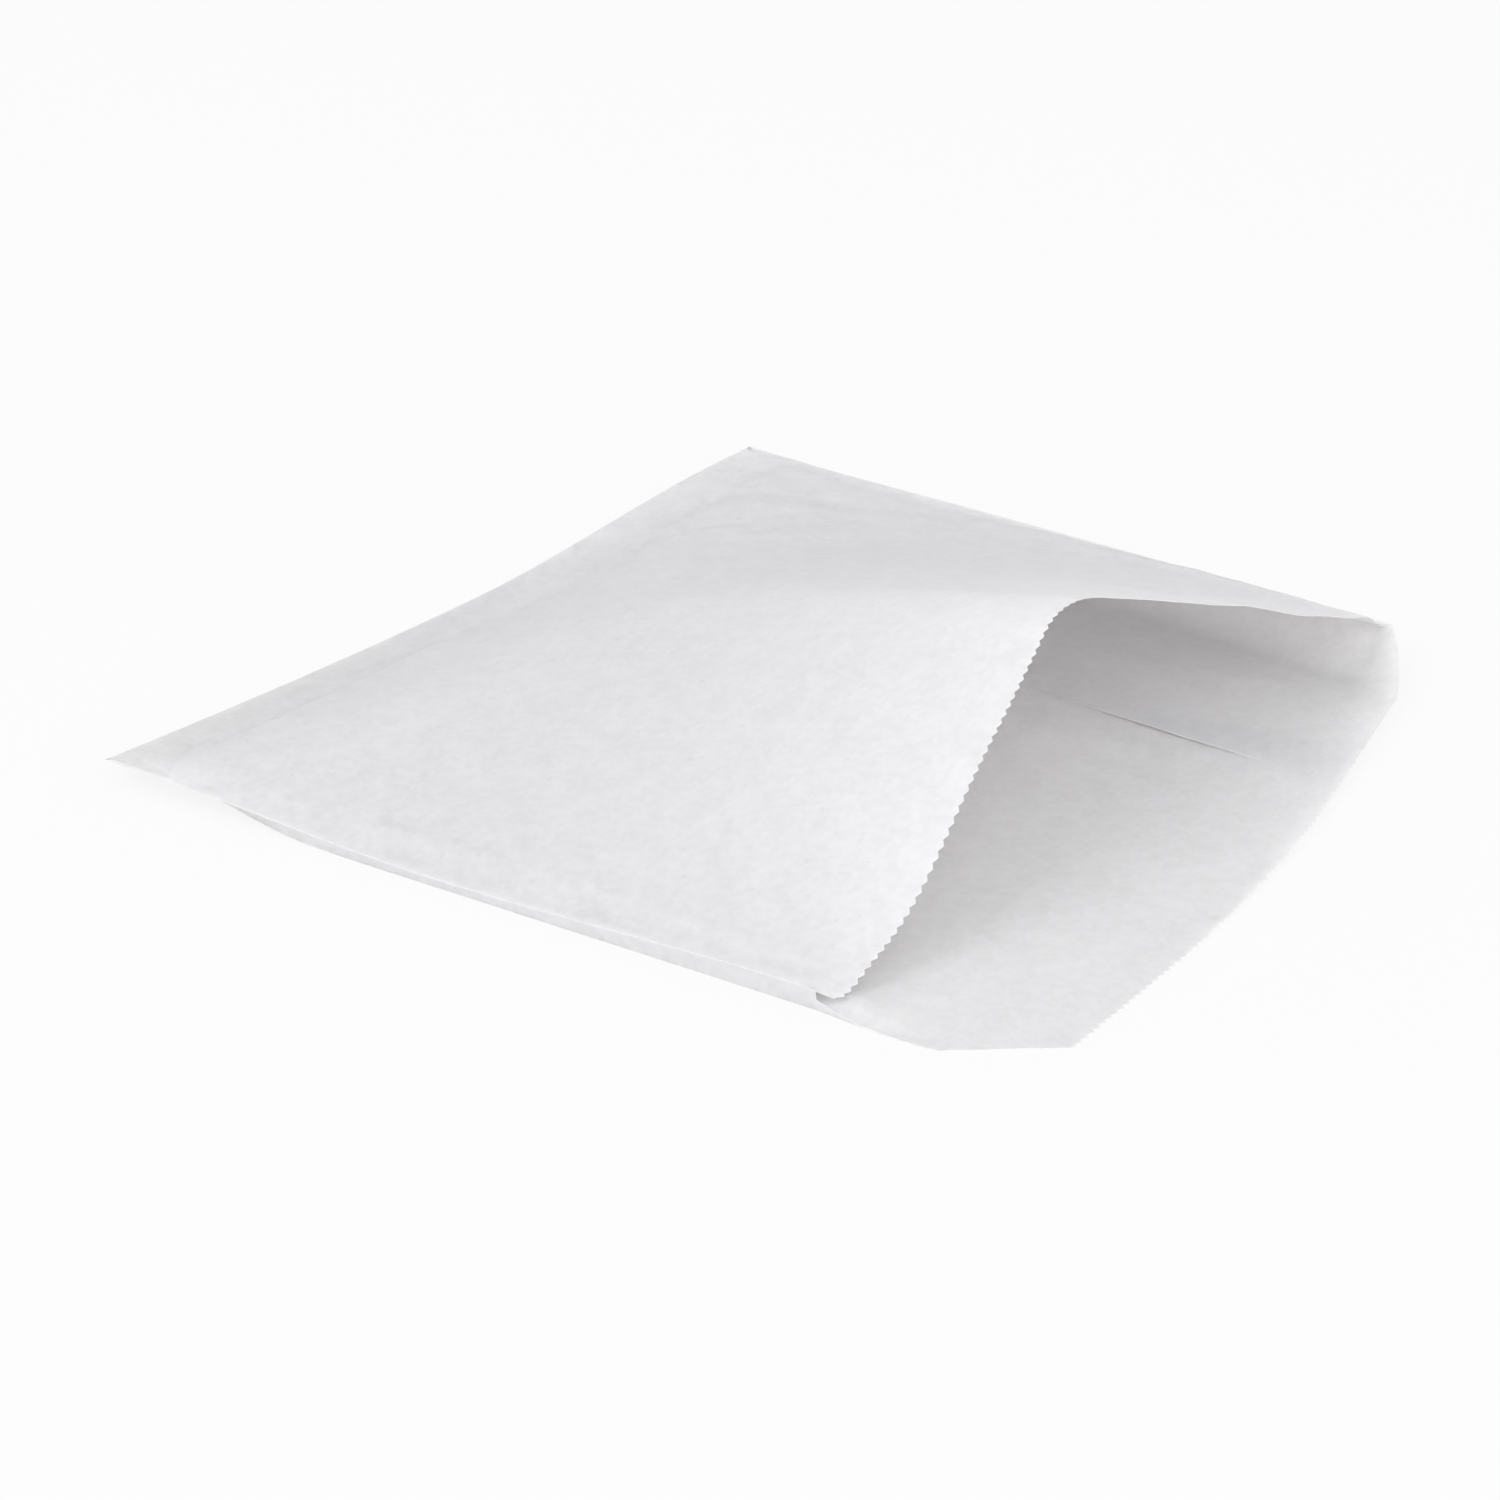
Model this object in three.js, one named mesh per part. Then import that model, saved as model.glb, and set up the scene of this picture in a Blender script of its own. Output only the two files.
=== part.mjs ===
// Greaseproof paper bag lying on its back with its mouth opened, in millimetres.
// X runs from the closed end to the mouth, Y from the near crease to the far one, and Z is up.
// The bag is one sheet: front and back plies joined at two creases and at the closed end.
// Each place on a ply is given by its distance across the flat bag and its distance along it.

import * as THREE from "three";

// Paper and flat sizes
const paper = 0.1;
const plyGap = 0.04;
const bagWidth = 216;
const frontLength = 174;
const lipLength = 40.4;
const notchDepth = 4.2;
const frontCornerRadius = 5;
const lipChamferAcross = 15;
const lipChamferAlong = 19;
const lipFall = 12;
const lipTurn = 30;
const lipTurnShare = 0.5;
const lipFarBulge = 1;
const toothPitch = 2.25;
const toothDepth = 0.75;

// Glued seam in the back ply and glued fold under the closed end
const seamFromNear = 150;
const seamOverlap = 12;
const bottomFold = 12;
const bottomLayers = 3;
const seamLayers = 2;
const stepRun = 0.3;

// How far the opened bag stands off the table and draws in
const mouthHeight = 45.6;
const crestPull = 10.8;
const nearCornerRise = 4.5;
const farCornerRise = 3.8;
const nearCreaseRise = 4.4;
const farMouthRise = 7.8;
const farMouthDraw = 15;
const sealSag = 119;
const sealFlat = 205;
const sealCurve = 1.6;
const wallLean = 0.6;
const wallStart = 52;
const floorStart = 65;
const floorKnee = 18;
const floorKneeCurve = 1.5;
const floorLift = 2.4;
const floorLiftStart = 86;
const floorLiftFull = 130;
const floorLiftEnd = 151;
const lipFarRise = 3.2;
const lipFarDraw = 24;
const lipSideLift = 0.8;

// Slopes and folds of the front ply
const nearSlopeAtSeal = 0.08;
const nearSlopeAtMouth = 0.5;
const nearSlopeCurve = 1.6;
const nearDip = 5.4;
const nearDipAcross = 21;
const nearDipWidth = 20;
const nearDipCurve = 4;
const closedSlope = 0.2;
const closedSlopeGain = 0.4;
const valleyStart = 141;
const valleyShift = 53;
const valleyRun = 97;
const valleyFromCrease = 11;
const valleyHeightAtSeal = 7.6;
const valleyHeightAtMouth = 12.8;
const crestToValley = 89.7;
const foldSoftness = 8;
const valleySoftness = 2;
const creaseReach = 9;
const edgePullCurve = 6;
const plySpread = 0.04;
const plySpreadMost = 1;

// Grid of the plies
const columnCount = 30;
const rowCount = 20;
const lipRowCount = 6;
const foldWidth = 2 * paper;
const firstRow = 3;

const notchX = frontLength - notchDepth;
const lipX = frontLength + lipLength;
const { lerp, clamp, smoothstep } = THREE.MathUtils;

function softMin(a, b, softness) {
  const near = Math.max(softness - Math.abs(a - b), 0) / softness;
  return Math.min(a, b) - near * near * softness / 4;
}

function softMax(a, b, softness) {
  return -softMin(-a, -b, softness);
}

// Creases, from the closed end towards the mouth
function farCreaseY(x) {
  return bagWidth - farMouthDraw * x / frontLength;
}

function farCreaseZ(x) {
  return lerp(farCornerRise, farMouthRise, x / frontLength);
}

function nearCreaseZ(x) {
  return lerp(nearCornerRise, nearCreaseRise, smoothstep(x, bottomFold, wallStart));
}

// Height of the closed edge: both corners stand off the table and the middle sags onto it
function closedEdgeZ(y) {
  const nearShare = Math.max(1 - y / sealSag, 0);
  const farShare = smoothstep(y, sealSag, sealFlat);
  return nearCornerRise * nearShare ** sealCurve + farCornerRise * farShare;
}

// Back ply: flat on the table, lifting a little inside, and rising to both creases
function floorZ(x, y) {
  const creaseY = farCreaseY(x);
  const rise = smoothstep(y, creaseY - floorKnee, creaseY) ** floorKneeCurve;
  const inside = smoothstep(x, floorStart / 2, floorStart * 1.5);
  const outside = smoothstep(x, notchX - floorStart, notchX);
  const middle = smoothstep(y, floorLiftStart, floorLiftFull);
  const beyond = smoothstep(y, floorLiftEnd, creaseY - floorKnee);
  const lift = floorLift * inside * (1 - outside) * middle * (1 - beyond);
  const opened = farCreaseZ(x) * rise + lift;
  const leaving = 1 - clamp((x - bottomFold) / (floorStart - bottomFold), 0, 1);
  return lerp(opened, closedEdgeZ(y), leaving * leaving) + bottomFoldLift(x) + paper / 2;
}

// The back ply steps over the paper that is folded under the closed end
function bottomFoldLift(x) {
  return 2 * paper * (1 - smoothstep(x, bottomFold, 2 * bottomFold));
}

function backPoint(across, x) {
  const upright = smoothstep(x, bottomFold, wallStart);
  const footY = lerp(nearCreaseRise, wallLean, upright);
  const creaseZ = nearCreaseZ(x) + bottomFoldLift(x) + paper / 2;
  if (across < nearCreaseRise) {
    const share = across / nearCreaseRise;
    return new THREE.Vector3(x, footY * share, lerp(creaseZ, floorZ(x, footY), share));
  }
  const share = (across - nearCreaseRise) / (bagWidth - nearCreaseRise);
  const y = lerp(footY, farCreaseY(x), share);
  const z = floorZ(x, y);
  return new THREE.Vector3(x, y, z);
}

// Front ply: near, closed-end and far slopes meet at soft ridges, and a strip lies along the far crease
function frontZ(x, y) {
  const open = x / frontLength;
  const creaseY = farCreaseY(x);
  const dip = nearDip * open ** nearDipCurve * Math.exp(-(((y - nearDipAcross) / nearDipWidth) ** 2));
  const near = nearCreaseZ(x) + lerp(nearSlopeAtSeal, nearSlopeAtMouth, open ** nearSlopeCurve) * y - dip;
  const closedGain = closedSlope + closedSlopeGain * y / bagWidth;
  const closed = closedEdgeZ(y) + closedGain * Math.max(x - bottomFold, 0);
  const valleyPath = valleyStart + valleyShift * smoothstep(x, 0, valleyRun);
  const valleyY = Math.min(valleyPath, creaseY - valleyFromCrease);
  const valleyZ = lerp(valleyHeightAtSeal, valleyHeightAtMouth, open);
  const crestSlope = (mouthHeight - valleyHeightAtMouth) / crestToValley;
  const far = valleyZ + crestSlope * open * (valleyY - y);
  const stripShare = clamp((y - valleyY) / (creaseY - valleyY), 0, 1);
  const strip = lerp(valleyZ, farCreaseZ(x), stripShare);
  const farSide = softMax(far, strip, valleySoftness);
  return softMin(softMin(near, closed, foldSoftness), farSide, foldSoftness);
}

function frontPoint(across, x) {
  const creaseY = farCreaseY(x);
  const y = creaseY * across / bagWidth;
  const nearReach = smoothstep(y, 0, creaseReach);
  const farReach = smoothstep(creaseY - y, 0, creaseReach);
  const creaseZ = y < creaseY / 2 ? nearCreaseZ(x) : farCreaseZ(x);
  const reach = Math.min(nearReach, farReach);
  const raised = lerp(creaseZ, frontZ(x, y), reach) + paper;
  const spread = Math.min(plySpread * Math.max(x - bottomFold, 0), plySpreadMost * reach);
  const lowest = floorZ(x, y) + paper + plyGap + spread;
  const z = x > bottomFold ? Math.max(raised, lowest) : lowest;
  return new THREE.Vector3(x, y, z);
}

// Where each ply ends: the near crease stops at the notch, the far crease at the front edge
function creaseEndX(across) {
  return lerp(notchX, frontLength, across / bagWidth);
}

function frontEdgeX(across) {
  const y = farCreaseY(frontLength) * across / bagWidth;
  const arch = Math.max(frontZ(frontLength, y) - nearCreaseRise, 0) / (mouthHeight - nearCreaseRise);
  const corner = clamp(1 - across / frontCornerRadius, 0, 1);
  const rounding = notchDepth * (1 - Math.sqrt(1 - corner * corner));
  return frontLength - crestPull * arch * arch - rounding;
}

// Lip: the back ply beyond the front edge, between its two sides and its curved cut
function lipCutPoint(share) {
  const y = lerp(lipChamferAcross, farCreaseY(frontLength) - lipFarDraw, share);
  const fall = lipFall * share + lipTurn * Math.max(share - lipTurnShare, 0);
  return new THREE.Vector3(lipX - fall, y, lipFarRise * share * share + paper / 2);
}

function lipNearSide(along) {
  const footX = creaseEndX(nearCreaseRise);
  const foot = backPoint(nearCreaseRise, footX);
  const straight = (lipX - lipChamferAlong - footX) / (lipX - footX);
  const corner = new THREE.Vector3(lipX - lipChamferAlong, 0, paper / 2);
  const lift = lipSideLift * Math.sin(Math.PI * clamp(along / straight, 0, 1));
  const point = along < straight
    ? foot.clone().lerp(corner, along / straight)
    : corner.clone().lerp(lipCutPoint(0), (along - straight) / (1 - straight));
  point.z += lift;
  return point;
}

function lipFarSide(along) {
  const start = backPoint(bagWidth, frontLength);
  const point = start.lerp(lipCutPoint(1), along);
  point.x += lipFarBulge * Math.sin(Math.PI * along);
  return point;
}

function lipPoint(across, along) {
  const share = (across - nearCreaseRise) / (bagWidth - nearCreaseRise);
  const base = backPoint(across, creaseEndX(across));
  const straight = base.lerp(lipCutPoint(share), along);
  const nearBase = backPoint(nearCreaseRise, creaseEndX(nearCreaseRise)).lerp(lipCutPoint(0), along);
  const farBase = backPoint(bagWidth, frontLength).lerp(lipCutPoint(1), along);
  straight.addScaledVector(lipNearSide(along).sub(nearBase), 1 - share);
  straight.addScaledVector(lipFarSide(along).sub(farBase), share);
  return straight;
}

// Flat positions of the grid lines, with close pairs at each fold and at each step in thickness
function acrossLines() {
  const lines = [0, foldWidth, nearCreaseRise / 2];
  for (let i = 0; i < columnCount; i += 1) {
    lines.push(lerp(nearCreaseRise, bagWidth, i / columnCount));
  }
  lines.push(bagWidth - foldWidth, bagWidth);
  lines.push(seamFromNear, seamFromNear + stepRun);
  lines.push(seamFromNear + seamOverlap - stepRun, seamFromNear + seamOverlap);
  return lines.sort((a, b) => a - b);
}

function alongLines() {
  const lines = [0, foldWidth, bottomFold, bottomFold + stepRun];
  for (let j = 0; j <= rowCount; j += 1) {
    lines.push(lerp(bottomFold + firstRow, frontLength, j / rowCount));
  }
  return lines;
}

// A pinked cut goes out and in again at each tooth
function toothLines(start, end, cutLength) {
  const count = Math.round(cutLength / toothPitch);
  const lines = [];
  for (let k = 0; k <= 2 * count; k += 1) {
    lines.push(lerp(start, end, k / (2 * count)));
  }
  return lines;
}

// Extra paper outside the back ply under the closed end, and inside it along the seam
function backOutside(along) {
  return along <= bottomFold ? (bottomLayers - 0.5) * paper : 0.5 * paper;
}

function backInside(across) {
  const overlapped = across > seamFromNear && across < seamFromNear + seamOverlap;
  return overlapped ? (seamLayers - 0.5) * paper : 0.5 * paper;
}

// Middle surface of the sheet: points with the paper's extent on each side, and outward triangles
class Sheet {
  constructor() {
    this.points = [];
    this.outside = [];
    this.inside = [];
    this.triangles = [];
  }

  add(point, outside = 0.5 * paper, inside = 0.5 * paper) {
    this.outside.push(outside);
    this.inside.push(inside);
    return this.points.push(point) - 1;
  }

  // Joins two rows of points that run the same way but may hold different numbers of points
  join(rowA, rowB, facesUp) {
    let a = 0;
    let b = 0;
    while (a < rowA.length - 1 || b < rowB.length - 1) {
      const stepA = b === rowB.length - 1 || (a < rowA.length - 1 && rowA[a + 1].key <= rowB[b + 1].key);
      const third = stepA ? rowA[a + 1].index : rowB[b + 1].index;
      const corners = [rowA[a].index, rowB[b].index, third];
      this.triangles.push(facesUp ? corners : corners.reverse());
      a += stepA ? 1 : 0;
      b += stepA ? 0 : 1;
    }
  }

  normals() {
    const sums = this.points.map(() => new THREE.Vector3());
    for (const corners of this.triangles) {
      const [a, b, c] = corners.map((corner) => this.points[corner]);
      const area = b.clone().sub(a).cross(c.clone().sub(a));
      corners.forEach((corner) => sums[corner].add(area));
    }
    return sums.map((sum) => sum.normalize());
  }

  // Gives the sheet its thickness and closes its cut edges
  solid() {
    const normals = this.normals();
    const count = this.points.length;
    const outer = this.points.map((p, i) => p.clone().addScaledVector(normals[i], this.outside[i]));
    const inner = this.points.map((p, i) => p.clone().addScaledVector(normals[i], -this.inside[i]));
    const index = [];
    const edges = new Set();
    for (const [a, b, c] of this.triangles) {
      index.push(a, b, c, a + count, c + count, b + count);
      edges.add(`${a},${b}`).add(`${b},${c}`).add(`${c},${a}`);
    }
    for (const edge of edges) {
      const [a, b] = edge.split(",").map(Number);
      if (!edges.has(`${b},${a}`)) {
        index.push(b, a, a + count, b, a + count, b + count);
      }
    }
    const geometry = new THREE.BufferGeometry();
    geometry.setFromPoints([...outer, ...inner]);
    geometry.setIndex(index);
    return geometry;
  }
}

// Rows of both plies share their first and last points, which lie on the creases
function addBackRow(sheet, along, keys) {
  return keys.map((key) => {
    const x = (along / frontLength) * creaseEndX(key);
    const point = backPoint(key, x);
    if (along === 0 || key === 0 || key === bagWidth) {
      return { key, index: sheet.add(point.lerp(frontPoint(key, x), 0.5)) };
    }
    return { key, index: sheet.add(point, backOutside(along), backInside(key)) };
  });
}

function addFrontRow(sheet, along, backRow) {
  const share = along / frontLength;
  return backRow.map(({ key, index }) => {
    if (along === 0 || key === 0 || key === bagWidth) {
      return { key, index };
    }
    const drawn = (frontEdgeX(key) - toothDepth - creaseEndX(key)) * share ** edgePullCurve;
    return { key, index: sheet.add(frontPoint(key, share * creaseEndX(key) + drawn)) };
  });
}

function addFrontTeeth(sheet, nearEnd, farEnd) {
  const keys = toothLines(0, bagWidth, bagWidth).slice(1, -1);
  const teeth = keys.map((key, k) => {
    const x = frontEdgeX(key) - (k % 2 ? toothDepth : 0);
    return { key, index: sheet.add(frontPoint(key, x)) };
  });
  return [nearEnd, ...teeth, farEnd];
}

function addLipTeeth(sheet) {
  const cutLength = lipCutPoint(0).distanceTo(lipCutPoint(1));
  return toothLines(nearCreaseRise, bagWidth, cutLength).map((key, k) => {
    const point = lipPoint(key, 1);
    point.x -= k % 2 ? 0 : toothDepth;
    return { key, index: sheet.add(point) };
  });
}

function paperBag() {
  const sheet = new Sheet();
  const keys = acrossLines();
  const alongs = alongLines();
  const backRows = alongs.map((along) => addBackRow(sheet, along, keys));
  const mouthRow = backRows[backRows.length - 1];
  const frontRows = alongs.slice(0, -1).map((along, j) => addFrontRow(sheet, along, backRows[j]));
  frontRows.push(addFrontTeeth(sheet, mouthRow[0], mouthRow[keys.length - 1]));
  for (let j = 1; j < alongs.length; j += 1) {
    sheet.join(frontRows[j - 1], frontRows[j], true);
    sheet.join(backRows[j - 1], backRows[j], false);
  }
  const foot = keys.indexOf(nearCreaseRise);
  let previous = mouthRow.slice(foot);
  for (let k = 1; k <= lipRowCount; k += 1) {
    const along = k / (lipRowCount + 1);
    const lipRow = keys.slice(foot).map((key) => ({ key, index: sheet.add(lipPoint(key, along)) }));
    sheet.join(previous, lipRow, false);
    previous = lipRow;
  }
  sheet.join(previous, addLipTeeth(sheet), false);
  return sheet.solid();
}

const bagColour = new THREE.Color(0.82, 0.82, 0.83);
const bagMaterial = new THREE.MeshStandardMaterial({ color: bagColour, roughness: 0.75, metalness: 0 });
const bag = new THREE.Mesh(paperBag(), bagMaterial);
bag.name = "paper_bag";

// The origin lies under the middle of the bag, on the table
bag.geometry.computeBoundingBox();
const { min, max } = bag.geometry.boundingBox;
bag.geometry.translate(-(min.x + max.x) / 2, -(min.y + max.y) / 2, -min.z);

const model = new THREE.Group();
model.add(bag);

export default model;
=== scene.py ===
import math
import bmesh
import bpy
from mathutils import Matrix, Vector, noise


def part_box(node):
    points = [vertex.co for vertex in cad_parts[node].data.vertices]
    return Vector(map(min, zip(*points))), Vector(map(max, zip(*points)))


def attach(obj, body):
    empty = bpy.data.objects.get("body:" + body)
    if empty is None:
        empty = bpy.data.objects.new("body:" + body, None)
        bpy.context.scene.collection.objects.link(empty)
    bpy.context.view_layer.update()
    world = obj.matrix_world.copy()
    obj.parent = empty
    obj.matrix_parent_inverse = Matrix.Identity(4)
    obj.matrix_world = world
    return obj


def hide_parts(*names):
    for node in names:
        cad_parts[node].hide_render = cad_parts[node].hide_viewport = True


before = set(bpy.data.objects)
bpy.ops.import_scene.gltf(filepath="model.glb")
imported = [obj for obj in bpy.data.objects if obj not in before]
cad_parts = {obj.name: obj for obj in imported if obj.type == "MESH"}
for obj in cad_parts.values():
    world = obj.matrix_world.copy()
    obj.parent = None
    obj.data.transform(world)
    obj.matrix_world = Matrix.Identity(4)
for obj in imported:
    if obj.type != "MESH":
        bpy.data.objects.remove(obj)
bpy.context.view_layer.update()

bagLow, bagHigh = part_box("paper_bag")
print("frame loaded, bag box", bagLow, bagHigh)

# sizes in millimetres
# across runs from the near crease to the far one, along from the closed end to the mouth
bagSizes = {
    "paper": 0.1,
    "plyGap": 0.04,
    "width": 216.0,
    "frontLength": 174.0,
    "lipLength": 41.2,
    "notchDepth": 4.2,
    "frontCornerRadius": 3.0,
    "lipChamferAcross": 15.0,
    "lipChamferAlong": 19.0,
    "lipFall": 11.4,
    "lipTurn": 30.0,
    "lipTurnShare": 0.5,
    "lipTurnSoftness": 0.24,
    "lipFarBulge": 1.0,
    "toothPitch": 2.25,
    "toothDepth": 0.75,
    "toothReach": 8,
    "bottomFold": 12.0,
}

# how the opened bag stands on the table
openShape = {
    "mouthHeight": 46.9,
    "crestPull": 10.8,
    "nearCornerRise": 4.5,
    "farCornerRise": 3.8,
    "nearCreaseRise": 4.4,
    "nearCreaseLow": 2.0,
    "nearCreaseLowAt": 80.0,
    "farMouthRise": 7.8,
    "farMouthDraw": 15.0,
    "sealSag": 119.0,
    "sealFlat": 205.0,
    "sealCurve": 1.6,
    "wallLean": 0.6,
    "wallStart": 52.0,
    "floorStart": 65.0,
    "floorStartBlend": 0.5,
    "floorKnee": 18.0,
    "floorLift": 2.4,
    "floorKneeCurve": 1.5,
    "floorLiftStart": 86.0,
    "floorLiftFull": 130.0,
    "floorLiftEnd": 151.0,
    "lipFarRise": 3.2,
    "lipFarDraw": 24.0,
    "lipSideBulge": 1.0,
    "lipSettleCurve": 3,
    "lipLevelFrom": 0.05,
    "lipLevelTo": 0.5,
    "lipReliefEnd": 0.6,
    "notchDroop": 1.3,
    "notchDroopBlend": 2.0,
    "notchDroopReach": 14.0,
    "notchPucker": 1.9,
    "notchPuckerAcross": 4.0,
    "notchPuckerPast": 3.0,
    "notchPuckerFlat": 2.0,
    "notchPuckerAlong": 20.0,
    "nearSlopeAtSeal": 0.08,
    "nearSlopeAtMouth": 0.5,
    "nearSlopeCurve": 1.6,
    "nearDip": 5.4,
    "nearDipAcross": 21.0,
    "nearDipWidth": 20.0,
    "nearDipCurve": 4.0,
    "closedSlope": 0.2,
    "closedSlopeGain": 0.4,
    "glueRise": 1.5,
    # where the fold strip's rise ends across the bag, which is also where its painted shade ends
    "foldRiseAndShadeEnd": 140.0,
    "valleyStart": 141.0,
    "valleyShift": 53.0,
    "valleyRun": 97.0,
    "valleyFromCrease": 11.0,
    "valleyHeightAtSeal": 7.6,
    "valleyHeightAtMouth": 12.8,
    "crestToValley": 89.7,
    "foldSoftness": 3.5,
    "crestSoftness": 8.0,
    "crestSoftFrom": 120.0,
    "crestSoftTo": 165.0,
    "valleySoftness": 2.0,
    "creaseReach": 9.0,
    "edgePullCurve": 6.0,
    "plySpread": 0.04,
    "plySpreadMost": 1.0,
}

meshDetail = {
    "rows": 100,
    "lipRows": 24,
    "wallColumns": 4,
    "seamColumns": 8,
    "seamRows": 110,
    "sharpDegrees": 35.0,
    "mergeDistance": 0.0003,
    "firstRowShare": 1e-6,
    "sealMargin": 0.001,
    "mouthMargin": 3.0,
    "searchSteps": 18,
}

bag = dict(bagSizes, **openShape)
notchX = bag["frontLength"] - bag["notchDepth"]
lipX = bag["frontLength"] + bag["lipLength"]


def mix(a, b, share):
    return a + (b - a) * share


def clamp(value, low=0.0, high=1.0):
    return max(low, min(high, value))


def smoothStep(value, low, high):
    share = clamp((value - low) / (high - low))
    return share * share * (3 - 2 * share)


def softMin(a, b, softness):
    near = max(softness - abs(a - b), 0) / softness
    return min(a, b) - near * near * softness / 4


def softMax(a, b, softness):
    return -softMin(-a, -b, softness)


def farCreaseY(x):
    return bag["width"] - bag["farMouthDraw"] * x / bag["frontLength"]


def farCreaseZ(x):
    return mix(bag["farCornerRise"], bag["farMouthRise"], x / bag["frontLength"])


def nearCreaseZ(x):
    lowAt = bag["nearCreaseLowAt"]
    falling = mix(bag["nearCornerRise"], bag["nearCreaseLow"], smoothStep(x, bag["bottomFold"], lowAt))
    return falling + (bag["nearCreaseRise"] - bag["nearCreaseLow"]) * smoothStep(x, lowAt, notchX)


def closedEdgeZ(y):
    nearShare = max(1 - y / bag["sealSag"], 0)
    farShare = smoothStep(y, bag["sealSag"], bag["sealFlat"])
    return bag["nearCornerRise"] * nearShare ** bag["sealCurve"] + bag["farCornerRise"] * farShare


def bottomFoldLift(x):
    return 2 * bag["paper"] * (1 - smoothStep(x, bag["bottomFold"], 2 * bag["bottomFold"]))


def floorZ(x, y):
    creaseY = farCreaseY(x)
    kneeY = creaseY - bag["floorKnee"]
    start = bag["floorStart"]
    blend = start * bag["floorStartBlend"]
    rise = smoothStep(y, kneeY, creaseY) ** bag["floorKneeCurve"]
    inside = smoothStep(x, start - blend, start + blend) * (1 - smoothStep(x, notchX - start, notchX))
    middle = smoothStep(y, bag["floorLiftStart"], bag["floorLiftFull"])
    beyond = smoothStep(y, bag["floorLiftEnd"], kneeY)
    opened = farCreaseZ(x) * rise + bag["floorLift"] * inside * middle * (1 - beyond)
    leaving = 1 - clamp((x - bag["bottomFold"]) / (start - bag["bottomFold"]))
    return mix(opened, closedEdgeZ(y), leaving * leaving) + bottomFoldLift(x) + bag["paper"] / 2


def backPoint(across, x):
    wall = bag["nearCreaseRise"]
    footY = mix(wall, bag["wallLean"], smoothStep(x, bag["bottomFold"], bag["wallStart"]))
    creaseZ = nearCreaseZ(x) + bottomFoldLift(x) + bag["paper"] / 2
    if across < wall:
        share = across / wall
        return Vector((x, footY * share, mix(creaseZ, floorZ(x, footY), share)))
    y = mix(footY, farCreaseY(x), (across - wall) / (bag["width"] - wall))
    return Vector((x, y, floorZ(x, y)))


def valleyAcross(x):
    return bag["valleyStart"] + bag["valleyShift"] * smoothStep(x, 0, bag["valleyRun"])


def frontZ(x, y):
    opened = x / bag["frontLength"]
    creaseY = farCreaseY(x)
    dipShape = math.exp(-((y - bag["nearDipAcross"]) / bag["nearDipWidth"]) ** 2)
    slope = mix(bag["nearSlopeAtSeal"], bag["nearSlopeAtMouth"], opened ** bag["nearSlopeCurve"])
    near = nearCreaseZ(x) + slope * y - bag["nearDip"] * opened ** bag["nearDipCurve"] * dipShape
    closedGain = bag["closedSlope"] + bag["closedSlopeGain"] * y / bag["width"]
    closed = closedEdgeZ(y) + closedGain * max(x - bag["bottomFold"], 0)
    glueFade = smoothStep(y, bag["foldRiseAndShadeEnd"] / 2, bag["foldRiseAndShadeEnd"])
    closed += bag["glueRise"] * clamp(x / bag["bottomFold"]) * (1 - glueFade)
    valleyY = min(valleyAcross(x), creaseY - bag["valleyFromCrease"])
    valleyZ = mix(bag["valleyHeightAtSeal"], bag["valleyHeightAtMouth"], opened)
    crestSlope = (bag["mouthHeight"] - bag["valleyHeightAtMouth"]) / bag["crestToValley"]
    far = valleyZ + crestSlope * opened * (valleyY - y)
    strip = mix(valleyZ, farCreaseZ(x), clamp((y - valleyY) / (creaseY - valleyY)))
    farSide = softMax(far, strip, bag["valleySoftness"])
    crestShare = smoothStep(x, bag["crestSoftFrom"], bag["crestSoftTo"])
    softness = mix(bag["foldSoftness"], bag["crestSoftness"], crestShare)
    return softMin(softMin(near, closed, softness), farSide, softness)


def frontPoint(across, x):
    creaseY = farCreaseY(x)
    y = creaseY * across / bag["width"]
    reach = min(smoothStep(y, 0, bag["creaseReach"]), smoothStep(creaseY - y, 0, bag["creaseReach"]))
    creaseZ = nearCreaseZ(x) if y < creaseY / 2 else farCreaseZ(x)
    raised = mix(creaseZ + bottomFoldLift(x), frontZ(x, y), reach) + bag["paper"]
    # past the notch the corner is free of the wall and hangs a little
    blend = bag["notchDroopBlend"]
    nearby = 1 - smoothStep(y, blend, bag["notchDroopReach"])
    raised -= bag["notchDroop"] * smoothStep(x, notchX - blend, notchX + blend) * nearby
    spread = min(bag["plySpread"] * max(x - bag["bottomFold"], 0), bag["plySpreadMost"] * reach)
    lowest = floorZ(x, y) + bag["paper"] + bag["plyGap"] + spread
    return Vector((x, y, max(raised, lowest) if x > bag["bottomFold"] else lowest))


def creaseEndX(across):
    return mix(notchX, bag["frontLength"], across / bag["width"])


def frontEdgeX(across):
    y = farCreaseY(bag["frontLength"]) * across / bag["width"]
    rise = bag["mouthHeight"] - bag["nearCreaseRise"]
    arch = max(frontZ(bag["frontLength"], y) - bag["nearCreaseRise"], 0) / rise
    corner = clamp(1 - across / bag["frontCornerRadius"])
    rounding = bag["notchDepth"] * (1 - math.sqrt(1 - corner * corner))
    return bag["frontLength"] - bag["crestPull"] * arch * arch - rounding


def lipCutPoint(share):
    y = mix(bag["lipChamferAcross"], farCreaseY(bag["frontLength"]) - bag["lipFarDraw"], share)
    turned = softMax(share - bag["lipTurnShare"], 0, bag["lipTurnSoftness"])
    fall = bag["lipFall"] * share + bag["lipTurn"] * turned
    return Vector((lipX - fall, y, bag["lipFarRise"] * share * share + bag["paper"] / 2))


def lipStraight():
    return (lipX - bag["lipChamferAlong"] - notchX) / (lipX - notchX)


def wallCut():
    return bag["nearCreaseRise"] / 2


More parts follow.
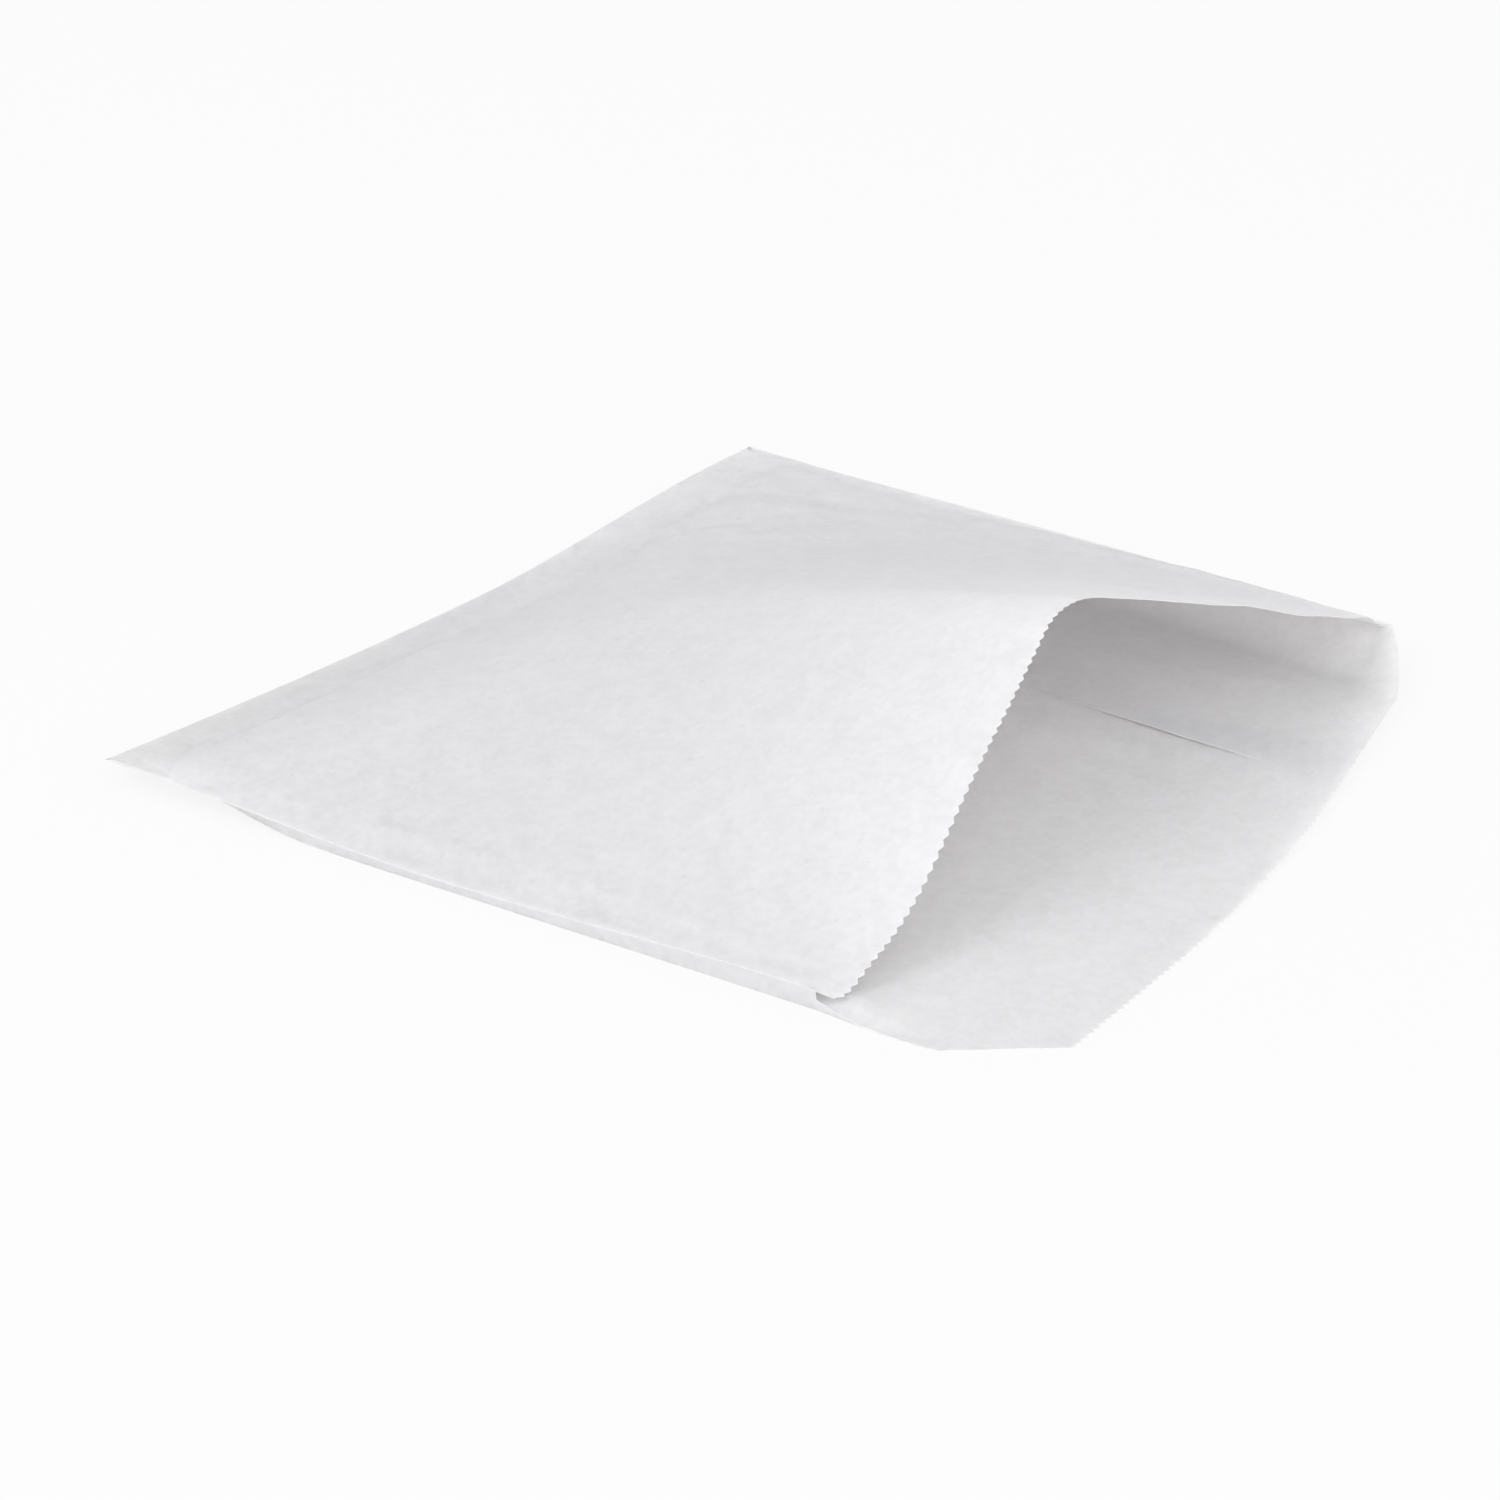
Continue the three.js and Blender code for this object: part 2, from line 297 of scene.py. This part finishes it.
# the side of the lip starts part way up the near wall and settles on the table
def lipNearSide(along):
    start = backPoint(wallCut(), creaseEndX(wallCut()))
    corner = Vector((lipX - bag["lipChamferAlong"], 0, bag["paper"] / 2))
    straight = lipStraight()
    if along > straight:
        return corner.lerp(lipCutPoint(0), (along - straight) / (1 - straight))
    share = along / straight
    point = start.lerp(corner, share)
    point.y -= bag["lipSideBulge"] * math.sin(math.pi * share)
    return point


def lipFarSide(along):
    point = backPoint(bag["width"], bag["frontLength"]).lerp(lipCutPoint(1), along)
    point.x += bag["lipFarBulge"] * math.sin(math.pi * along)
    return point


def lipPoint(across, along):
    share = (across - wallCut()) / (bag["width"] - wallCut())
    base = backPoint(across, creaseEndX(across))
    cut = lipCutPoint(share)
    nearBase = backPoint(wallCut(), creaseEndX(wallCut())).lerp(lipCutPoint(0), along)
    farBase = backPoint(bag["width"], bag["frontLength"]).lerp(lipCutPoint(1), along)
    farShift = (lipFarSide(along) - farBase) * share
    point = base.lerp(cut, along) + (lipNearSide(along) - nearBase) * (1 - share) + farShift
    settling = (1 - clamp(along / lipStraight())) ** bag["lipSettleCurve"]
    nearZ = mix(bag["paper"] / 2, base.z, settling)
    farZ = mix(base.z, cut.z, along) + farShift.z
    point.z = mix(nearZ, farZ, smoothStep(share, bag["lipLevelFrom"], bag["lipLevelTo"]))
    return point


# small creases and crumples of the handled paper, depths and widths in millimetres
relief = {
    "broadScale": 48.0,
    "broadDepth": 0.5,
    "broadSeed": 3.7,
    "crumpleScale": 17.0,
    "crumpleDepth": 0.45,
    "crumpleLevel": 0.6,
    "crumpleSeed": 8.1,
    "fineScale": 6.0,
    "fineDepth": 0.04,
    "fineSeed": 5.2,
    "smoothShare": 0.12,
    "closedEndShare": 0.45,
    "closedEndFrom": 18.0,
    "closedEndTo": 55.0,
    "stripBefore": 8.0,
    "stripAfter": 4.0,
    "edgeFrom": 1.0,
    "nearEdgeTo": 8.0,
    "farEdgeTo": 14.0,
    "foldFade": 8.0,
    "sealFade": 4.0,
    "creaseFade": 1.5,
    "creaseWidths": 3,
}

# slow waves of the paper that lies on the table
floorWaves = {
    "height": 0.35,
    "depth": 0.5,
    "scale": 40.0,
    "seed": 1.3,
    "nearFrom": 4.0,
    "nearTo": 20.0,
    "farFrom": 1.0,
    "farTo": 12.0,
}

# height, half width and the places passed, each across then along
frontCreases = [
    (1.1, 6.0, [(5, 13), (19.4, 9), (31.8, 7), (51.2, 7), (67.6, 9), (87, 13)]),
    (-0.6, 1.5, [(3.5, 12.5), (19.4, 8), (31.8, 5.4), (51.2, 4.8), (67.6, 7.1), (87, 11.7),
                 (103, 14.5)]),
    (0.35, 1.5, [(5, 33), (16, 38), (24, 39)]),
    (-0.5, 3.2, [(181, 6), (189, 22), (196, 40)]),
    (0.45, 3.6, [(166, 14), (181, 27), (187, 46), (193, 66)]),
    (-0.4, 3.0, [(203, 24), (193, 37), (184, 58)]),
    (0.4, 2.8, [(209, 12), (199, 16), (190, 12)]),
    (-0.5, 2.4, [(150, 3), (158, 18), (168, 31)]),
    (-0.35, 1.2, [(197, 28), (199, 30)]),
    (0.3, 4.0, [(70, 60), (98, 52), (121, 37)]),
    (0.55, 7.0, [(150, 175), (147, 152), (143, 132)]),
    (-0.5, 7.0, [(166, 175), (164, 158), (161, 140)]),
    (0.25, 5.0, [(60, 120), (84, 150), (92, 176)]),
    (0.3, 1.8, [(9, 60), (11, 100), (8, 140), (7, 168)]),
]
floorCreases = [
    (-0.5, 4.0, [(192, 120), (189, 150), (184, 190)]),
    (0.4, 6.0, [(120, 110), (128, 150), (150, 190)]),
    (0.35, 3.0, [(170, 140), (176, 165), (168, 192)]),
]


def creaseHeight(creases, x, y):
    total = 0
    for height, width, path in creases:
        nearest = width * relief["creaseWidths"]
        for (startY, startX), (endY, endX) in zip(path, path[1:]):
            alongY = endY - startY
            alongX = endX - startX
            share = clamp(((y - startY) * alongY + (x - startX) * alongX) / (alongY ** 2 + alongX ** 2))
            nearest = min(nearest, math.hypot(y - startY - share * alongY, x - startX - share * alongX))
        total += height * math.exp(-(nearest / width) ** relief["creaseFade"])
    return total


def sheetNoise(x, y, scale, seed):
    return noise.noise(Vector((x / scale, y / scale, seed)))


def crumple(x, y, amount):
    broad = relief["broadDepth"] * sheetNoise(x, y, relief["broadScale"], relief["broadSeed"])
    ridge = 1 - 2 * abs(sheetNoise(x, y, relief["crumpleScale"], relief["crumpleSeed"]))
    sharp = relief["crumpleDepth"] * amount * (ridge - relief["crumpleLevel"])
    fine = relief["fineDepth"] * sheetNoise(x, y, relief["fineScale"], relief["fineSeed"])
    return broad + sharp + fine


# the strip along the far crease and the closed end are the most handled
def frontRelief(point):
    x = point.x
    y = point.y
    creaseY = farCreaseY(x)
    valleyY = valleyAcross(x)
    strip = smoothStep(y, valleyY - relief["stripBefore"], valleyY + relief["stripAfter"])
    closedEnd = 1 - smoothStep(x, relief["closedEndFrom"], relief["closedEndTo"])
    amount = mix(relief["smoothShare"], 1, max(strip, relief["closedEndShare"] * closedEnd))
    nearEdge = smoothStep(y, relief["edgeFrom"], relief["nearEdgeTo"])
    edge = min(nearEdge, smoothStep(creaseY - y, relief["edgeFrom"], relief["farEdgeTo"]))
    inner = min(edge, smoothStep(x, bag["bottomFold"], bag["bottomFold"] + relief["foldFade"]))
    creases = creaseHeight(frontCreases, x, y) * edge * smoothStep(x, 0, relief["sealFade"])
    return crumple(x, y, amount) * inner + creases


def floorRelief(point):
    x = point.x
    y = point.y
    farGap = farCreaseY(min(x, bag["frontLength"])) - y
    nearEdge = smoothStep(y, floorWaves["nearFrom"], floorWaves["nearTo"])
    edge = min(nearEdge, smoothStep(farGap, floorWaves["farFrom"], floorWaves["farTo"]))
    inner = smoothStep(x, bag["floorStart"], bag["floorStart"] * (1 + bag["floorStartBlend"]))
    wave = sheetNoise(x, y, floorWaves["scale"], floorWaves["seed"])
    raised = floorWaves["height"] + floorWaves["depth"] * wave + creaseHeight(floorCreases, x, y)
    return max(raised, 0) * edge * inner + notchPucker(x, y)


# the paper between wall and lip is puckered where the notch ends
def notchPucker(x, y):
    across = max(y - bag["wallLean"], 0) / bag["notchPuckerAcross"]
    along = abs(x - notchX - bag["notchPuckerPast"])
    fade = 1 - smoothStep(along, bag["notchPuckerFlat"], bag["notchPuckerAlong"])
    return bag["notchPucker"] * across * math.exp(1 - across) * fade


def lipRelief(point, along):
    return floorRelief(point) * (1 - smoothStep(along, bag["lipReliefEnd"], 1))


def shiftToFrame(bm):
    # from millimetres at the near closed corner to metres in the model's frame
    half = bag["paper"] / 2
    for vert in bm.verts:
        vert.co = (vert.co + Vector((half, half, 0))) / 1000 + Vector((bagLow[0], bagLow[1], 0))


def gridPly(bm, columns, rows, place):
    made = bmesh.ops.create_grid(bm, x_segments=rows, y_segments=columns, size=0.5)
    for vert in made["verts"]:
        vert.co = place(vert.co.y + 0.5, vert.co.x + 0.5)
    return made["verts"]


def backAcross(step):
    walls = meshDetail["wallColumns"]
    wall = bag["nearCreaseRise"]
    if step <= walls:
        return wall * step / walls
    return mix(wall, bag["width"], (step - walls) / (backColumns - walls))


cutLength = (lipCutPoint(0) - lipCutPoint(1)).length
lipColumns = 2 * round(cutLength / bag["toothPitch"])
frontColumns = 2 * round(bag["width"] / bag["toothPitch"])
backColumns = lipColumns + meshDetail["wallColumns"] // 2


def placeFront(acrossShare, alongShare):
    step = round(acrossShare * frontColumns)
    across = bag["width"] * step / frontColumns
    baseX = alongShare * creaseEndX(across)
    if step in (0, frontColumns):
        crease = backPoint(across, baseX).lerp(frontPoint(across, baseX), 0.5)
        return crease if alongShare else frontPoint(across, baseX)
    tooth = bag["toothDepth"] if step % 2 == 0 or alongShare < 1 else 0
    baseX += (frontEdgeX(across) - tooth - creaseEndX(across)) * alongShare ** bag["edgePullCurve"]
    point = frontPoint(across, baseX)
    if alongShare:
        lowest = floorZ(point.x, point.y) + floorRelief(point) + bag["paper"] + bag["plyGap"]
        point.z = max(point.z + frontRelief(point), lowest)
    return point


def placeBack(acrossShare, alongShare):
    across = backAcross(round(acrossShare * backColumns))
    baseX = alongShare * creaseEndX(across)
    point = backPoint(across, baseX)
    if alongShare and across in (0, bag["width"]):
        return point.lerp(frontPoint(across, baseX), 0.5)
    point.z += floorRelief(point)
    return point


def placeLip(acrossShare, alongShare):
    step = round(acrossShare * lipColumns)
    backStep = step + meshDetail["wallColumns"] // 2
    across = backAcross(backStep)
    if alongShare < meshDetail["firstRowShare"]:
        return placeBack(backStep / backColumns, 1)
    if step % 2 == 0:
        # the rows behind a notch between two teeth close up, so that none of them cross
        length = (lipPoint(across, 1) - lipPoint(across, 0)).length
        alongShare -= bag["toothDepth"] / length * alongShare ** bag["toothReach"]
    point = lipPoint(across, alongShare)
    point.z += lipRelief(point, alongShare)
    return point


# the free edge of the inner flap where the back of the bag is glued to itself, heights in papers
seamFlap = {
    "fromNear": 143.0,
    "shift": -4.0,
    "overlap": 12.0,
    "short": 2.0,
    "lift": 0.45,
    "looseness": 0.7,
    "looseCurve": 6,
    "waveLength": 23.0,
    "waveSeed": (4.4, 0.7),
    "edgeHeight": 1.05,
    "gluedHeight": 0.25,
    "gluedFrom": 0.3,
}


def placeSeam(acrossShare, alongShare):
    y = seamFlap["fromNear"] + seamFlap["shift"] * alongShare + seamFlap["overlap"] * acrossShare
    share = (y - bag["lipChamferAcross"]) / (lipCutPoint(1).y - bag["lipChamferAcross"])
    x = mix(bag["bottomFold"], lipCutPoint(share).x - seamFlap["short"], alongShare)
    glued = smoothStep(acrossShare, seamFlap["gluedFrom"], 1)
    z = floorHeight(x, y) + bag["paper"] * mix(seamFlap["edgeHeight"], seamFlap["gluedHeight"], glued)
    wave = noise.noise(Vector((x / seamFlap["waveLength"], *seamFlap["waveSeed"])))
    loose = max(wave + seamFlap["looseness"], 0) * (1 - acrossShare) ** seamFlap["looseCurve"]
    return Vector((x, y, z + seamFlap["lift"] * loose))


def floorHeight(x, y):
    if x <= bag["frontLength"] - meshDetail["mouthMargin"]:
        return floorZ(x, y) + floorRelief(Vector((x, y, 0)))
    across = y * bag["width"] / farCreaseY(bag["frontLength"])
    low = 0
    high = 1
    for attempt in range(meshDetail["searchSteps"]):
        middle = (low + high) / 2
        if lipPoint(across, middle).x < x:
            low = middle
        else:
            high = middle
    point = lipPoint(across, low)
    return point.z + lipRelief(point, low)


def sealEdges(bm, upper):
    edges = []
    for edge in bm.edges:
        atSeal = all(vert.co.x < meshDetail["sealMargin"] for vert in edge.verts)
        if not (atSeal and edge.is_boundary):
            continue
        raised = all(vert.co.z > floorZ(0, vert.co.y) + bag["paper"] / 2 for vert in edge.verts)
        if raised == upper:
            edges.append(edge)
    return edges


def buildBag():
    bm = bmesh.new()
    rows = meshDetail["rows"]
    gridPly(bm, frontColumns, rows, placeFront)
    gridPly(bm, backColumns, rows, placeBack)
    gridPly(bm, lipColumns, meshDetail["lipRows"], placeLip)
    bmesh.ops.remove_doubles(bm, verts=bm.verts, dist=meshDetail["mergeDistance"])
    # the fold at the closed end, whose two rows hold different numbers of points
    bmesh.ops.bridge_loops(bm, edges=sealEdges(bm, True) + sealEdges(bm, False))
    bmesh.ops.holes_fill(bm, edges=[edge for edge in bm.edges if edge.is_boundary], sides=3)
    bmesh.ops.recalc_face_normals(bm, faces=bm.faces)
    gridPly(bm, meshDetail["seamColumns"], meshDetail["seamRows"], placeSeam)
    bmesh.ops.solidify(bm, geom=bm.faces[:], thickness=bag["paper"])
    for edge in bm.edges:
        edge.smooth = edge.calc_face_angle(0) < math.radians(meshDetail["sharpDegrees"])
    return bm


def finishBag():
    bm = buildBag()
    shiftToFrame(bm)
    mesh = bpy.data.meshes.new("greaseproofBag")
    bm.to_mesh(mesh)
    bm.free()
    for polygon in mesh.polygons:
        polygon.use_smooth = True
    piece = bpy.data.objects.new("greaseproof_bag", mesh)
    bpy.context.scene.collection.objects.link(piece)
    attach(piece, "root")
    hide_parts("paper_bag")
    return piece


paperLook = {
    "colour": (0.915, 0.924, 0.96, 1),
    "shadeColour": (0.811, 0.82, 0.853, 1),
    # the next colour darkens the fold strip at the closed end: painted shade, not a colour of the paper
    # or glue
    "paintedFoldShadeColour": (0.965, 0.965, 0.96, 1),
    "speckColour": (0.75, 0.745, 0.74, 1),
    "throughColour": (0.95, 0.936, 0.92, 1),
    "throughShare": 0.58,
    "roughness": 0.62,
    "specular": 0.3,
    "cloudScale": 190.0,
    "cloudDetail": 3,
    "cloudShare": 0.35,
    "mottleScale": 620.0,
    "mottleDetail": 4,
    "formationLow": 0.38,
    "formationHigh": 0.6,
    "speckScale": 420.0,
    "speckDetail": 6,
    "speckFrom": 0.64,
    "speckTo": 0.71,
    "fibreScale": 1500.0,
    "fibreDetail": 3,
    "fibreStrength": 0.35,
    "fibreDepth": 0.00006,
    "noiseRoughness": 0.6,
    # width of the soft edge of the painted shade on the fold strip
    "foldShadeBlend": 0.004,
}


def noiseNode(nodes, links, place, scale, detail):
    made = nodes.new("ShaderNodeTexNoise")
    made.inputs["Scale"].default_value = scale
    made.inputs["Detail"].default_value = detail
    made.inputs["Roughness"].default_value = paperLook["noiseRoughness"]
    links.new(place.outputs["Object"], made.inputs["Vector"])
    return made


def rampNode(nodes, links, source, low, high, lowColour, highColour):
    made = nodes.new("ShaderNodeValToRGB")
    made.color_ramp.elements[0].position = low
    made.color_ramp.elements[0].color = lowColour
    made.color_ramp.elements[1].position = high
    made.color_ramp.elements[1].color = highColour
    links.new(source, made.inputs["Fac"])
    return made


# one below the start of the range, nothing beyond its end
def fadeNode(nodes, links, source, start, end):
    made = nodes.new("ShaderNodeMapRange")
    made.inputs["From Min"].default_value = start
    made.inputs["From Max"].default_value = end
    made.inputs["To Min"].default_value = 1
    made.inputs["To Max"].default_value = 0
    links.new(source, made.inputs["Value"])
    return made


def greaseproofPaper():
    material = bpy.data.materials.new("greaseproofPaper")
    material.use_nodes = True
    nodes = material.node_tree.nodes
    links = material.node_tree.links
    shader = nodes["Principled BSDF"]
    shader.inputs["Roughness"].default_value = paperLook["roughness"]
    shader.inputs["Specular IOR Level"].default_value = paperLook["specular"]
    place = nodes.new("ShaderNodeTexCoord")

    # cloudy formation of the sheet, with finer mottle over it
    cloud = noiseNode(nodes, links, place, paperLook["cloudScale"], paperLook["cloudDetail"])
    mottle = noiseNode(nodes, links, place, paperLook["mottleScale"], paperLook["mottleDetail"])
    formation = nodes.new("ShaderNodeMath")
    formation.operation = "MULTIPLY_ADD"
    formation.inputs[1].default_value = paperLook["cloudShare"]
    links.new(cloud.outputs["Fac"], formation.inputs[0])
    part = nodes.new("ShaderNodeMath")
    part.operation = "MULTIPLY"
    part.inputs[1].default_value = 1 - paperLook["cloudShare"]
    links.new(mottle.outputs["Fac"], part.inputs[0])
    links.new(part.outputs[0], formation.inputs[2])
    shade = rampNode(nodes, links, formation.outputs[0], paperLook["formationLow"],
                     paperLook["formationHigh"], paperLook["shadeColour"], paperLook["colour"])

    # sparse darker fibres
    speck = noiseNode(nodes, links, place, paperLook["speckScale"], paperLook["speckDetail"])
    sparse = rampNode(nodes, links, speck.outputs["Fac"], paperLook["speckFrom"],
                      paperLook["speckTo"], (0, 0, 0, 1), (1, 1, 1, 1))
    tint = nodes.new("ShaderNodeMix")
    tint.data_type = "RGBA"
    tint.inputs[7].default_value = paperLook["speckColour"]
    links.new(sparse.outputs["Color"], tint.inputs[0])
    links.new(shade.outputs["Color"], tint.inputs[6])

    # painted shade: the fold strip at the closed end is tinted darker, most of all at its near end,
    # standing in for the shade where it slopes away from the light
    apart = nodes.new("ShaderNodeSeparateXYZ")
    links.new(place.outputs["Object"], apart.inputs[0])
    foldX = bagLow[0] + bag["bottomFold"] / 1000
    reach = bag["foldRiseAndShadeEnd"] / 1000
    blend = paperLook["foldShadeBlend"]
    inFold = fadeNode(nodes, links, apart.outputs["X"], foldX - blend, foldX + blend)
    nearEnd = fadeNode(nodes, links, apart.outputs["Y"], bagLow[1] + reach / 2, bagLow[1] + reach)
    # mask of the painted shade on the fold strip at the closed end
    glued = nodes.new("ShaderNodeMath")
    glued.operation = "MULTIPLY"
    links.new(inFold.outputs["Result"], glued.inputs[0])
    links.new(nearEnd.outputs["Result"], glued.inputs[1])
    foldShadeTint = nodes.new("ShaderNodeMix")
    foldShadeTint.data_type = "RGBA"
    foldShadeTint.blend_type = "MULTIPLY"
    foldShadeTint.inputs[7].default_value = paperLook["paintedFoldShadeColour"]
    links.new(glued.outputs[0], foldShadeTint.inputs[0])
    links.new(tint.outputs[2], foldShadeTint.inputs[6])
    links.new(foldShadeTint.outputs[2], shader.inputs["Base Color"])

    fibre = noiseNode(nodes, links, place, paperLook["fibreScale"], paperLook["fibreDetail"])
    bump = nodes.new("ShaderNodeBump")
    bump.inputs["Strength"].default_value = paperLook["fibreStrength"]
    bump.inputs["Distance"].default_value = paperLook["fibreDepth"]
    links.new(fibre.outputs["Fac"], bump.inputs["Height"])
    links.new(bump.outputs["Normal"], shader.inputs["Normal"])
    through = nodes.new("ShaderNodeBsdfTranslucent")
    through.inputs["Color"].default_value = paperLook["throughColour"]
    links.new(bump.outputs["Normal"], through.inputs["Normal"])
    blend = nodes.new("ShaderNodeMixShader")
    blend.inputs["Fac"].default_value = paperLook["throughShare"]
    links.new(shader.outputs["BSDF"], blend.inputs[1])
    links.new(through.outputs["BSDF"], blend.inputs[2])
    links.new(blend.outputs["Shader"], nodes["Material Output"].inputs["Surface"])
    return material


# the photograph's camera, from the solved picture, in millimetres from the near closed corner
photoCamera = {
    "place": (645.2, -680.5, 420.7),
    "heading": (-0.5841, 0.8117),
    "pitchDegrees": 24.0,
    "focalPixels": 5205.0,
    "imagePixels": 1500.0,
    "sensorWidth": 36.0,
}


def addCamera():
    data = bpy.data.cameras.new("photoCamera")
    data.sensor_width = photoCamera["sensorWidth"]
    data.lens = data.sensor_width * photoCamera["focalPixels"] / photoCamera["imagePixels"]
    camera = bpy.data.objects.new("photoCamera", data)
    bpy.context.scene.collection.objects.link(camera)
    half = bag["paper"] / 2
    corner = Vector((bagLow[0], bagLow[1], 0))
    camera.location = (Vector(photoCamera["place"]) + Vector((half, half, 0))) / 1000 + corner
    pitch = math.radians(photoCamera["pitchDegrees"])
    headX, headY = photoCamera["heading"]
    look = Vector((headX * math.cos(pitch), headY * math.cos(pitch), -math.sin(pitch)))
    camera.rotation_euler = look.to_track_quat("-Z", "Y").to_euler()
    bpy.context.scene.camera = camera


# each light has its name, power in watts, width and place, in metres
studio = {
    "skyStrength": 0.94,
    "lights": [
        ("sideLight", 11.0, 1.6, (1.32, -1.1, 1.36)),
        ("keyLight", 15.0, 1.6, (-0.55, -1.55, 1.5)),
        ("mouthLight", 4.0, 1.0, (1.7, -0.2, 0.45)),
    ],
    "floorSize": 6.0,
    "floorColour": (0.8, 0.8, 0.8, 1),
    "backgroundColour": (0.97, 0.97, 0.97, 1),
    "backgroundShare": 0.88,
}


def softLight(name, power, size, place):
    data = bpy.data.lights.new(name, "AREA")
    data.shape = "DISK"
    data.size = size
    data.energy = power
    light = bpy.data.objects.new(name, data)
    light.location = place
    light.rotation_euler = (-Vector(place)).to_track_quat("-Z", "Y").to_euler()
    bpy.context.scene.collection.objects.link(light)


def addStudio():
    world = bpy.data.worlds.new("softStudio")
    bpy.context.scene.world = world
    world.use_nodes = True
    sky = world.node_tree.nodes["Background"]
    sky.inputs["Color"].default_value = (1, 1, 1, 1)
    sky.inputs["Strength"].default_value = studio["skyStrength"]
    for name, power, size, place in studio["lights"]:
        softLight(name, power, size, place)

    bm = bmesh.new()
    bmesh.ops.create_grid(bm, x_segments=1, y_segments=1, size=studio["floorSize"])
    mesh = bpy.data.meshes.new("paleFloor")
    bm.to_mesh(mesh)
    bm.free()
    floor = bpy.data.objects.new("pale_floor", mesh)
    bpy.context.scene.collection.objects.link(floor)
    mesh.materials.append(paleFloor())


def paleFloor():
    material = bpy.data.materials.new("paleFloor")
    material.use_nodes = True
    nodes = material.node_tree.nodes
    links = material.node_tree.links
    nodes.remove(nodes["Principled BSDF"])
    diffuse = nodes.new("ShaderNodeBsdfDiffuse")
    diffuse.inputs["Color"].default_value = studio["floorColour"]
    white = nodes.new("ShaderNodeEmission")
    white.inputs["Color"].default_value = studio["backgroundColour"]
    white.inputs["Strength"].default_value = 1
    path = nodes.new("ShaderNodeLightPath")
    share = nodes.new("ShaderNodeMath")
    share.operation = "MULTIPLY"
    share.inputs[1].default_value = studio["backgroundShare"]
    links.new(path.outputs["Is Camera Ray"], share.inputs[0])
    blend = nodes.new("ShaderNodeMixShader")
    links.new(share.outputs[0], blend.inputs["Fac"])
    links.new(diffuse.outputs[0], blend.inputs[1])
    links.new(white.outputs[0], blend.inputs[2])
    links.new(blend.outputs[0], nodes["Material Output"].inputs["Surface"])
    return material


addCamera()
print("camera placed")
addStudio()
print("studio lit")
bagPiece = finishBag()
bagPiece.data.materials.append(greaseproofPaper())
print("bag built,", len(bagPiece.data.polygons), "faces")

bpy.context.scene.view_settings.view_transform = "Standard"
